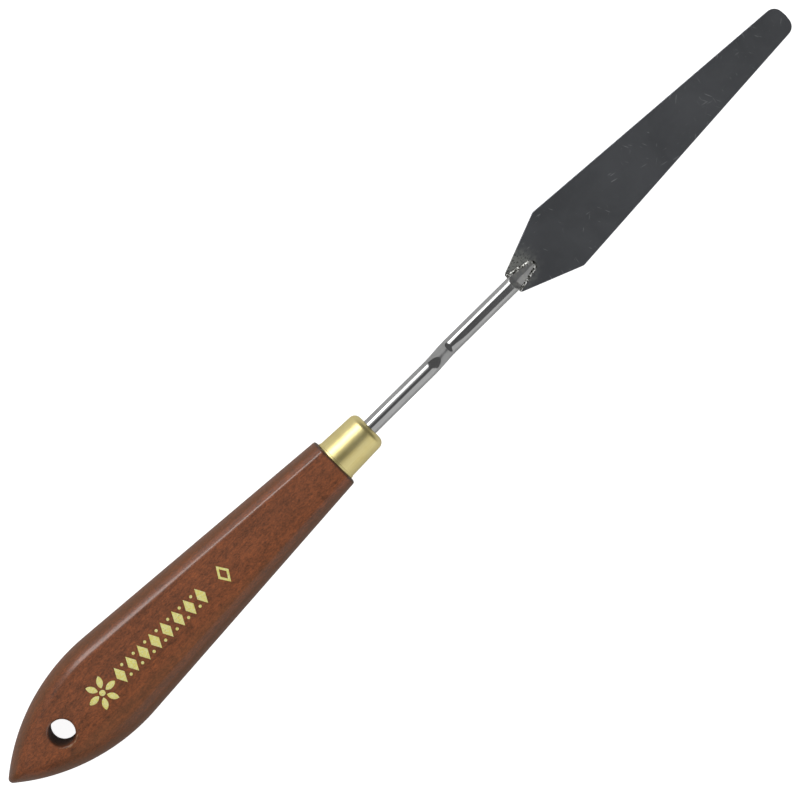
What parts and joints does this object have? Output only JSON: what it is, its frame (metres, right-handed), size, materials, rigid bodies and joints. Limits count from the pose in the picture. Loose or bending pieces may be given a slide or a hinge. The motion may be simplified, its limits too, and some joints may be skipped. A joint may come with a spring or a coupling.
{
  "type": "palette knife",
  "caption": "Palette knife: a flat-faced lacquered wood handle with a hang hole, a brass ferrule, a cranked round steel shank and a tapering trowel-shaped spring blade.",
  "frame": {"origin": "on the hang hole's axis, half-way through the handle's thickness", "axes": "+X from the butt of the handle to the tip of the blade, +Z out of the handle's stamped face, +Y across the handle"},
  "size_m": [0.2191, 0.0208, 0.011],
  "materials": {
    "lacquered_wood": "reddish brown stain under satin lacquer",
    "ferrule_brass": "polished, with fine lengthwise drawing lines",
    "polished_steel": "bright drawn and polished steel",
    "blade_steel": "dark grey satin tempered steel",
    "weld_steel": "mottled, heat-marked",
    "cured_glue": "translucent amber",
    "gold_foil": "hot-stamped bright foil"
  },
  "bodies": {
    "root": {"handle": "lacquered_wood", "ferrule": "ferrule_brass", "shank": "polished_steel", "blade": "blade_steel", "weld_fillet": "weld_steel", "tang_glue": "cured_glue", "foil_stamp": "gold_foil"}
  },
  "joints": []
}
